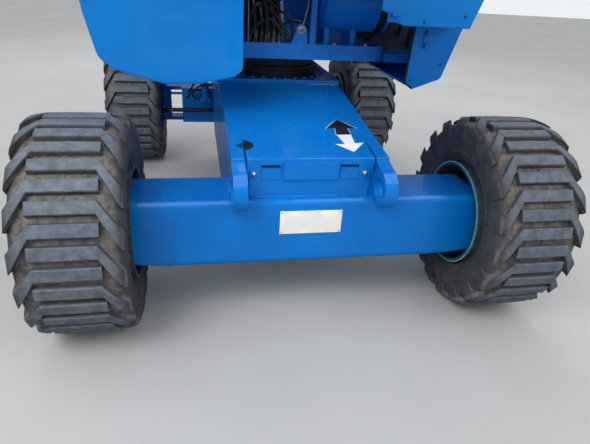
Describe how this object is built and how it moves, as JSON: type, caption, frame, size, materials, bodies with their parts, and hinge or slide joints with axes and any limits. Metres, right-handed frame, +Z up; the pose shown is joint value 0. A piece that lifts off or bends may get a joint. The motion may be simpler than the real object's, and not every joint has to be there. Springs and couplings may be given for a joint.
{
  "type": "articulating boom lift",
  "caption": "Stowed articulating boom lift: wheeled chassis, turntable with hoods, folding risers, telescopic boom, jib and work platform.",
  "frame": {"origin": "on the ground at the middle of the stowed machine's footprint, between the platform's front and the back of the steered tyres", "axes": "+Z up, +Y from the platform towards the counterweight and the steered axle, +X to the right when looking along +Y"},
  "size_m": [2.5, 8.3762, 2.55],
  "materials": {
    "body_blue": "glossy",
    "boom_blue": "glossy",
    "control_black": "textured",
    "cylinder_black": "satin",
    "dark_steel": "satin",
    "engine_grey": "rough",
    "hood_blue": "glossy moulding",
    "hose_black": "matt",
    "lamp_amber": "glossy, tinted",
    "rail_grey": "satin",
    "rim_blue": "satin",
    "rod_chrome": "polished",
    "tank_blue": "glossy",
    "tyre_rubber": "dusty"
  },
  "bodies": {
    "chassis": {"chassis_frame": "body_blue", "drive_axle_beam": "body_blue", "steer_axle_beam": "body_blue", "slew_ring_lower": "dark_steel", "drive_hubs": "body_blue", "steer_cylinder_barrel": "cylinder_black"},
    "wheel_near_left": {"tyre_near_left": "tyre_rubber", "rim_near_left": "rim_blue"},
    "wheel_near_right": {"tyre_near_right": "tyre_rubber", "rim_near_right": "rim_blue"},
    "knuckle_left": {"knuckle_left": "body_blue"},
    "knuckle_right": {"knuckle_right": "body_blue"},
    "wheel_far_left": {"tyre_far_left": "tyre_rubber", "rim_far_left": "rim_blue"},
    "wheel_far_right": {"tyre_far_right": "tyre_rubber", "rim_far_right": "rim_blue"},
    "tie_rod": {"tie_rod": "dark_steel"},
    "steer_rod": {"steer_cylinder_rod": "rod_chrome"},
    "turntable": {"slew_ring_upper": "dark_steel", "turntable_base": "body_blue", "counterweight": "body_blue", "hydraulic_tank": "tank_blue", "engine_block": "engine_grey", "fuel_tank": "control_black", "side_skirt_right": "body_blue", "hood_frame": "dark_steel", "hoses": "hose_black", "beacon": "lamp_amber", "ground_controls": "control_black"},
    "cover_left": {"cover_left": "hood_blue"},
    "cover_right": {"cover_right": "hood_blue"},
    "lower_riser": {"lower_riser": "boom_blue"},
    "lower_link": {"lower_link": "boom_blue"},
    "mid_pivot": {"mid_pivot": "boom_blue"},
    "upper_riser": {"upper_riser": "boom_blue"},
    "upper_link": {"upper_link": "boom_blue"},
    "upper_pivot": {"upper_pivot": "boom_blue"},
    "riser_barrel": {"riser_cylinder_barrel": "cylinder_black"},
    "riser_rod": {"riser_cylinder_rod": "rod_chrome"},
    "primary_boom": {"primary_boom": "boom_blue", "hose_tray": "dark_steel"},
    "boom_barrel": {"boom_cylinder_barrel": "cylinder_black"},
    "boom_rod": {"boom_cylinder_rod": "rod_chrome"},
    "boom_extension": {"boom_extension": "boom_blue"},
    "level_bracket": {"level_bracket": "boom_blue"},
    "level_barrel": {"level_cylinder_barrel": "cylinder_black"},
    "level_rod": {"level_cylinder_rod": "rod_chrome"},
    "jib_boom": {"jib_boom": "boom_blue"},
    "jib_link": {"jib_link": "boom_blue"},
    "jib_barrel": {"jib_cylinder_barrel": "cylinder_black"},
    "jib_rod": {"jib_cylinder_rod": "rod_chrome"},
    "platform_support": {"platform_support": "boom_blue"},
    "platform": {"platform_floor": "rail_grey", "platform_rails": "rail_grey", "platform_controls": "control_black"},
    "gate": {"platform_gate": "rail_grey"}
  },
  "joints": [
    {"name": "wheel_near_left_spin", "type": "hinge", "parent": "chassis", "child": "wheel_near_left", "pos_m": [-1.03, 1.23809, 0.51], "axis": [1, 0, 0], "continuous": true},
    {"name": "wheel_near_right_spin", "type": "hinge", "parent": "chassis", "child": "wheel_near_right", "pos_m": [1.03, 1.23809, 0.51], "axis": [1, 0, 0], "continuous": true},
    {"name": "steer_left", "type": "hinge", "parent": "chassis", "child": "knuckle_left", "pos_m": [-0.8, 3.67809, 0.51], "axis": [0, 0, 1], "range_deg": [-35, 35]},
    {"name": "steer_right", "type": "hinge", "parent": "chassis", "child": "knuckle_right", "pos_m": [0.8, 3.67809, 0.51], "axis": [0, 0, 1], "range_deg": [-36, 36]},
    {"name": "tie_rod_pivot", "type": "hinge", "parent": "knuckle_left", "child": "tie_rod", "pos_m": [-0.8, 3.46809, 0.477], "axis": [0, 0, 1], "range_deg": [-36, 36]},
    {"name": "steer_rod_slide", "type": "slide", "parent": "chassis", "child": "steer_rod", "axis": [-1, 0, 0], "range_m": [-0.13, 0.13]},
    {"name": "wheel_far_left_spin", "type": "hinge", "parent": "knuckle_left", "child": "wheel_far_left", "pos_m": [-1.03, 3.67809, 0.51], "axis": [1, 0, 0], "continuous": true},
    {"name": "wheel_far_right_spin", "type": "hinge", "parent": "knuckle_right", "child": "wheel_far_right", "pos_m": [1.03, 3.67809, 0.51], "axis": [1, 0, 0], "continuous": true},
    {"name": "turntable_swing", "type": "hinge", "parent": "chassis", "child": "turntable", "pos_m": [0, 2.4581, 1.086], "axis": [0, 0, 1], "range_deg": [-177.5, 177.5]},
    {"name": "cover_left_open", "type": "hinge", "parent": "turntable", "child": "cover_left", "pos_m": [-0.272, 2.4581, 1.955], "axis": [0, 1, 0], "range_deg": [0, 62]},
    {"name": "cover_right_open", "type": "hinge", "parent": "turntable", "child": "cover_right", "pos_m": [0.507, 2.4581, 1.955], "axis": [0, -1, 0], "range_deg": [0, 62]},
    {"name": "riser_lift", "type": "hinge", "parent": "turntable", "child": "lower_riser", "pos_m": [0, 3.30809, 1.68], "axis": [-1, 0, 0], "range_deg": [0, 68]},
    {"name": "lower_link_turn", "type": "hinge", "parent": "turntable", "child": "lower_link", "pos_m": [0, 3.4181, 1.83], "axis": [-1, 0, 0], "range_deg": [0, 69]},
    {"name": "mid_pivot_turn", "type": "hinge", "parent": "lower_riser", "child": "mid_pivot", "pos_m": [0, 0.50809, 1.68], "axis": [1, 0, 0], "range_deg": [0, 69]},
    {"name": "upper_riser_turn", "type": "hinge", "parent": "mid_pivot", "child": "upper_riser", "pos_m": [0, 0.5581, 1.98], "axis": [1, 0, 0], "range_deg": [0, 69]},
    {"name": "upper_link_turn", "type": "hinge", "parent": "mid_pivot", "child": "upper_link", "pos_m": [0, 0.4481, 2.13], "axis": [1, 0, 0], "range_deg": [0, 69]},
    {"name": "upper_pivot_turn", "type": "hinge", "parent": "upper_riser", "child": "upper_pivot", "pos_m": [0, 3.2081, 1.98], "axis": [-1, 0, 0], "range_deg": [0, 69]},
    {"name": "riser_barrel_turn", "type": "hinge", "parent": "turntable", "child": "riser_barrel", "pos_m": [0, 3.05809, 1.34], "axis": [-1, 0, 0], "range_deg": [-1, 65]},
    {"name": "riser_rod_slide", "type": "slide", "parent": "riser_barrel", "child": "riser_rod", "axis": [0, -0.9686, 0.2487], "range_m": [-0.005, 0.4705]},
    {"name": "primary_lift", "type": "hinge", "parent": "upper_pivot", "child": "primary_boom", "pos_m": [0, 3.40809, 2.42], "axis": [-1, 0, 0], "range_deg": [0, 72]},
    {"name": "boom_barrel_turn", "type": "hinge", "parent": "upper_pivot", "child": "boom_barrel", "pos_m": [0, 3.27809, 2.223], "axis": [-1, 0, 0], "range_deg": [-1, 72]},
    {"name": "boom_rod_slide", "type": "slide", "parent": "boom_barrel", "child": "boom_rod", "axis": [0, -0.9998, 0.019], "range_m": [-0.005, 0.2821]},
    {"name": "boom_extend", "type": "slide", "parent": "primary_boom", "child": "boom_extension", "axis": [0, -1, 0], "range_m": [0, 3.3]},
    {"name": "level_bracket_turn", "type": "hinge", "parent": "boom_extension", "child": "level_bracket", "pos_m": [0, -2.0219, 2.33], "axis": [1, 0, 0], "range_deg": [0, 73]},
    {"name": "level_barrel_turn", "type": "hinge", "parent": "boom_extension", "child": "level_barrel", "pos_m": [0, -1.6179, 2.39], "axis": [-1, 0, 0], "range_deg": [-1, 13]},
    {"name": "level_rod_slide", "type": "slide", "parent": "level_barrel", "child": "level_rod", "axis": [0, -0.992, -0.1264], "range_m": [-0.005, 0.0849]},
    {"name": "jib_lift", "type": "hinge", "parent": "level_bracket", "child": "jib_boom", "pos_m": [0, -2.1619, 2.08], "axis": [-1, 0, 0], "range_deg": [0, 125]},
    {"name": "jib_link_turn", "type": "hinge", "parent": "level_bracket", "child": "jib_link", "pos_m": [0, -2.1619, 2.23], "axis": [-1, 0, 0], "range_deg": [0, 126]},
    {"name": "jib_barrel_turn", "type": "hinge", "parent": "level_bracket", "child": "jib_barrel", "pos_m": [0, -2.14791, 1.91], "axis": [-1, 0, 0], "range_deg": [-1, 126]},
    {"name": "jib_rod_slide", "type": "slide", "parent": "jib_barrel", "child": "jib_rod", "axis": [0, -0.3921, -0.9199], "range_m": [-0.005, 0.3076]},
    {"name": "platform_support_turn", "type": "hinge", "parent": "jib_boom", "child": "platform_support", "pos_m": [0, -2.8381, 0.62991], "axis": [1, 0, 0], "range_deg": [0, 126]},
    {"name": "platform_rotate", "type": "hinge", "parent": "platform_support", "child": "platform", "pos_m": [0, -3.0631, 0.475], "axis": [0, 0, 1], "range_deg": [-80, 80]},
    {"name": "gate_open", "type": "hinge", "parent": "platform", "child": "gate", "pos_m": [-1.201, -3.46109, 0.904], "axis": [0, 0, 1], "range_deg": [0, 85]}
  ],
  "couplings": [
    {"joint": "steer_right", "follows": "steer_left", "ratio": 1},
    {"joint": "tie_rod_pivot", "follows": "steer_left", "ratio": -1},
    {"joint": "steer_rod_slide", "follows": "steer_left", "m_per_rad": 0.16995},
    {"joint": "lower_link_turn", "follows": "riser_lift", "ratio": 1},
    {"joint": "mid_pivot_turn", "follows": "riser_lift", "ratio": 1},
    {"joint": "upper_riser_turn", "follows": "riser_lift", "ratio": 1},
    {"joint": "upper_link_turn", "follows": "riser_lift", "ratio": 1},
    {"joint": "upper_pivot_turn", "follows": "riser_lift", "ratio": 1},
    {"joint": "riser_barrel_turn", "follows": "riser_lift", "ratio": 0.93227},
    {"joint": "riser_rod_slide", "follows": "riser_lift", "m_per_rad": 0.39223},
    {"joint": "boom_barrel_turn", "follows": "primary_lift", "ratio": 0.98442},
    {"joint": "boom_rod_slide", "follows": "primary_lift", "m_per_rad": 0.22049},
    {"joint": "level_bracket_turn", "follows": "primary_lift", "ratio": 1},
    {"joint": "level_barrel_turn", "follows": "primary_lift", "ratio": 0.16467},
    {"joint": "level_rod_slide", "follows": "primary_lift", "m_per_rad": 0.06362},
    {"joint": "jib_link_turn", "follows": "jib_lift", "ratio": 1},
    {"joint": "jib_barrel_turn", "follows": "jib_lift", "ratio": 0.99923},
    {"joint": "jib_rod_slide", "follows": "jib_lift", "m_per_rad": 0.1387},
    {"joint": "platform_support_turn", "follows": "jib_lift", "ratio": 1}
  ]
}
